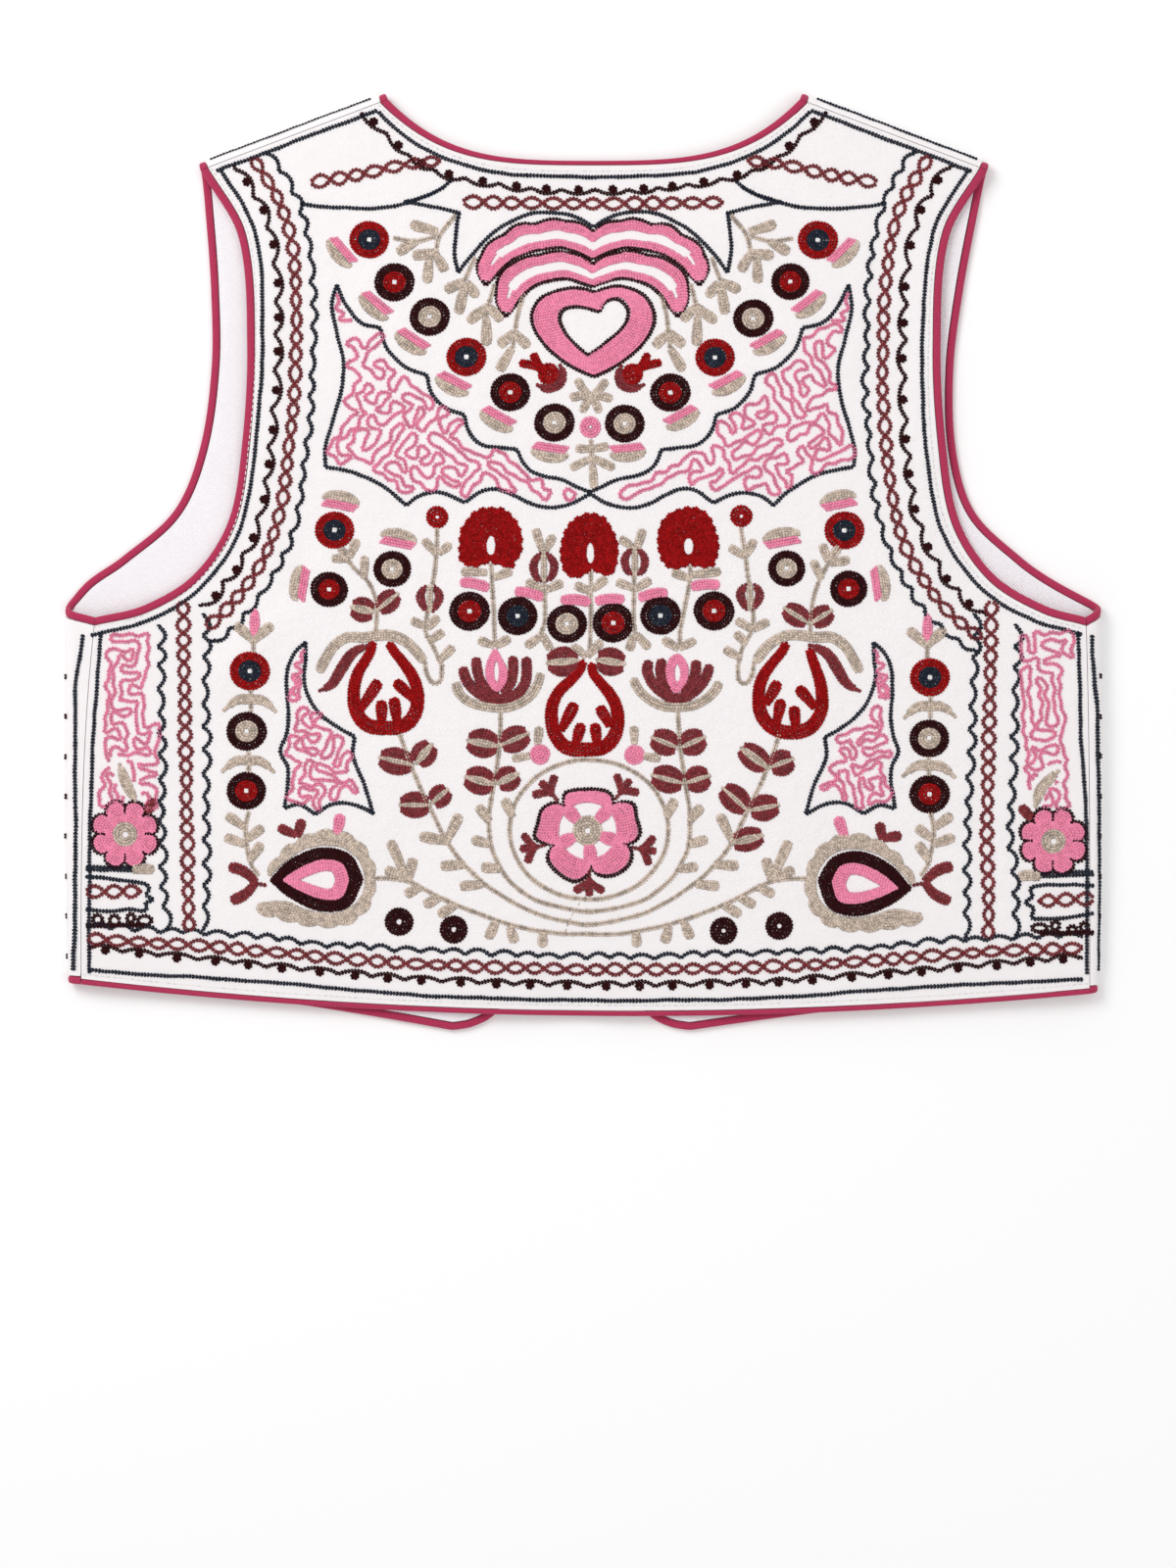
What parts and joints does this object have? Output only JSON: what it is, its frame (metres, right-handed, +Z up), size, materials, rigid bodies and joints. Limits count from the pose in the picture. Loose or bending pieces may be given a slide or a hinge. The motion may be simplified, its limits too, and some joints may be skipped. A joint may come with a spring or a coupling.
{
  "type": "waistcoat",
  "caption": "Cropped sleeveless folk waistcoat laid out flat with its back uppermost, off-white cloth with chain-stitch embroidery and raspberry binding.",
  "frame": {"origin": "centre of the bounding box, at the height of the table that the vest lies on", "axes": "+X to the right of someone who looks down on the back, +Y from hem to shoulders, +Z up from the table"},
  "size_m": [0.4806, 0.4339, 0.0098],
  "materials": {
    "cloth": "matt crepe weave, embroidered in yarn",
    "lining": "matt plain weave",
    "binding": "matt bias-cut plain weave"
  },
  "bodies": {
    "root": {"back": "cloth", "front_left": "cloth", "front_right": "cloth", "lining_front_left": "lining", "lining_front_right": "lining", "binding_neck_back": "binding", "binding_hem_back": "binding", "binding_armhole_back_left": "binding", "binding_armhole_back_right": "binding", "binding_armhole_front_left": "binding", "binding_armhole_front_right": "binding", "binding_front_left": "binding", "binding_front_right": "binding"}
  },
  "joints": []
}
